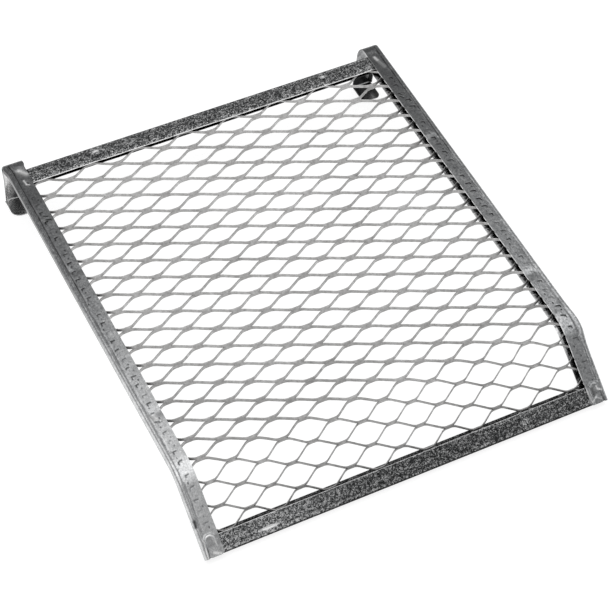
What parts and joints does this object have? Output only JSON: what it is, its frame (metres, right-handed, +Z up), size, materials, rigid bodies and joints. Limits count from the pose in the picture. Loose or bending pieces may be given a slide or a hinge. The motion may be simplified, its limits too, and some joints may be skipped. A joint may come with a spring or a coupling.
{
  "type": "paint roller bucket grid",
  "caption": "Galvanised paint roller grid: raised expanded-metal panel with a kicked front end in folded channel rails, with bucket hooks at the back corners.",
  "frame": {"origin": "middle of the bounding box's bottom face: the plane that the two hook tongues and the front edge of the kick stand on", "axes": "+X across the grid to the right side rail, +Y along the grid to the hooks, +Z up from the standing plane, square to the flat field of the mesh"},
  "size_m": [0.2492, 0.2832, 0.0323],
  "materials": {
    "mesh": "matte galvanised",
    "side_rail": "satin galvanised, finely mottled",
    "cross_rail": "galvanised with a coarse dark spangle"
  },
  "bodies": {
    "root": {"mesh_field": "mesh", "mesh_kick": "mesh", "left_side_rail": "side_rail", "right_side_rail": "side_rail", "top_cross_rail": "cross_rail", "bottom_cross_rail": "cross_rail"}
  },
  "joints": []
}
